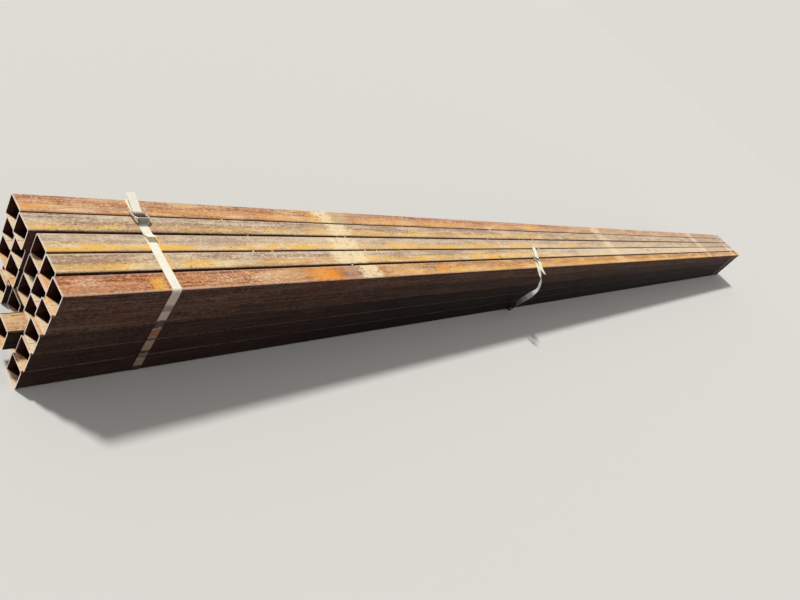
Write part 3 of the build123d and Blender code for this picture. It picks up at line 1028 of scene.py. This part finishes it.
class BUNDLE_OT_scatter_dirt(bpy.types.Operator):
    """Lays clods in the seams between the top faces and crumbs on them"""

    bl_idname = "bundle.scatter_dirt"
    bl_label = "Scatter dirt"

    def execute(self, context):
        amounts = context.scene.bundle_dirt
        chance = random.Random(amounts.seed)
        boxes = [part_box(f"tube_row1_column{column}") for column in range(1, COLUMNS + 1)]
        top = boxes[0][1].z
        seams = [(front[1].y + back[0].y) / 2 for back, front in zip(boxes, boxes[1:])]
        near, far = boxes[0][0].x + END_ROOM, boxes[0][1].x - END_ROOM
        spots = [(x * MM, seams[seam - 1], top - 2.5 * MM, size * MM) for x, seam, size in SEAM_CLODS]
        for _ in range(amounts.clods):
            size = chance.uniform(2, 4) * MM
            spots.append((chance.uniform(near, far), chance.choice(seams), top - 4 * MM + size / 3, size))
        for _ in range(amounts.crumbs):
            size = chance.uniform(0.8, 2.2) * MM
            low, high = chance.choice(boxes)
            y = chance.uniform(low.y + CORNER_ROOM, high.y - CORNER_ROOM)
            spots.append((chance.uniform(near, far), y, top + size * 0.3, size))
        shape = bmesh.new()
        for x, y, z, size in spots:
            spin = Matrix.Rotation(chance.uniform(0, math.tau), 4, Vector((0.3, 0.5, 0.8)).normalized())
            flat = Matrix.Diagonal((size * chance.uniform(0.8, 1.5), size, size * 0.7, 1))
            bmesh.ops.create_icosphere(
                shape, subdivisions=1, radius=1, matrix=Matrix.Translation((x, y, z)) @ flat @ spin
            )
        mesh = bpy.data.meshes.new("dirt")
        shape.to_mesh(mesh)
        shape.free()
        dirt = new_object("dirt", mesh)
        paint(dirt, dirt_material(context.scene.bundle_tubes))
        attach(dirt, "root")
        return {"FINISHED"}


# Half the side of the floor, in metres, and the key light: the direction it comes from and its width
FLOOR_HALF = 60
KEY_FROM = (-0.3, 0.5, 0.8)
KEY_WIDTH = math.radians(6)


class BUNDLE_OT_build_stage(bpy.types.Operator):
    """Sets the floor, the light and the camera"""

    bl_idname = "bundle.build_stage"
    bl_label = "Build stage"

    def execute(self, context):
        scene = context.scene
        stage = scene.bundle_stage
        self.lay_floor(stage)
        self.set_lights(scene, stage)
        self.place_camera(scene, stage)
        scene.view_settings.view_transform = "Standard"
        return {"FINISHED"}

    def lay_floor(self, stage):
        """A wide level floor."""
        corners = [(x * FLOOR_HALF, y * FLOOR_HALF, 0) for x, y in ((-1, -1), (1, -1), (1, 1), (-1, 1))]
        floor = new_shape("floor", corners, [(0, 1, 2, 3)])
        material, bench, shader = new_material("stage_floor")
        set_finish(bench, shader, stage.floor, 0.9)
        paint(floor, material)

    def set_lights(self, scene, stage):
        """One wide key light from above and behind, and even light all round."""
        light = bpy.data.lights.new("key", "SUN")
        light.energy = stage.key
        light.angle = KEY_WIDTH
        key = new_object("key", light)
        key.rotation_euler = Vector(KEY_FROM).to_track_quat("Z", "Y").to_euler()
        world = bpy.data.worlds.new("studio")
        world.use_nodes = True
        bench = Bench(world.node_tree)
        world.node_tree.nodes.clear()
        rays = bench.add("LightPath")
        seen = bench.most(rays.outputs["Is Camera Ray"], rays.outputs["Is Glossy Ray"])
        seen = bench.most(seen, rays.outputs["Is Transmission Ray"])
        even = bench.add("Background", (1, 1, 1, 1), stage.fill)
        backdrop = bench.add("Background", stage.floor, 1.0)
        mixed = bench.add("MixShader", seen, even.outputs[0], backdrop.outputs[0])
        bench.add("OutputWorld", mixed.outputs[0])
        scene.world = world

    def place_camera(self, scene, stage):
        """The camera, above the near end and beside the front side."""
        data = bpy.data.cameras.new("camera")
        data.sensor_width = 36
        data.lens = stage.lens
        data.clip_start, data.clip_end = 0.05, 200
        camera = new_object("camera", data)
        camera.location = stage.camera_place
        camera.rotation_euler = stage.camera_turn
        scene.camera = camera


class BUNDLE_PT_sidebar(bpy.types.Panel):
    """Lists the bundle's settings and steps"""

    bl_label = "Tube bundle"
    bl_idname = "BUNDLE_PT_sidebar"
    bl_space_type = "VIEW_3D"
    bl_region_type = "UI"
    bl_category = "Tube bundle"

    def draw(self, context):
        for name, group in SETTINGS.items():
            box = self.layout.box()
            for field in group.__annotations__:
                box.prop(getattr(context.scene, name), field)
        for step in STEPS:
            self.layout.operator(step.bl_idname)


STEPS = (
    BUNDLE_OT_finish_tubes,
    BUNDLE_OT_finish_straps,
    BUNDLE_OT_finish_buckles,
    BUNDLE_OT_make_loose_strap,
    BUNDLE_OT_scatter_dirt,
    BUNDLE_OT_build_stage,
)


def register():
    for group in (*SETTINGS.values(), *STEPS, BUNDLE_PT_sidebar):
        bpy.utils.register_class(group)
    for name, group in SETTINGS.items():
        setattr(bpy.types.Scene, name, bpy.props.PointerProperty(type=group))


def unregister():
    for name in SETTINGS:
        delattr(bpy.types.Scene, name)
    for group in reversed((*SETTINGS.values(), *STEPS, BUNDLE_PT_sidebar)):
        bpy.utils.unregister_class(group)


def main():
    register()
    bpy.ops.bundle.finish_tubes()
    bpy.ops.bundle.finish_straps()
    bpy.ops.bundle.finish_buckles()
    bpy.ops.bundle.make_loose_strap()
    bpy.ops.bundle.scatter_dirt()
    bpy.ops.bundle.build_stage()


if __name__ == "__main__":
    main()
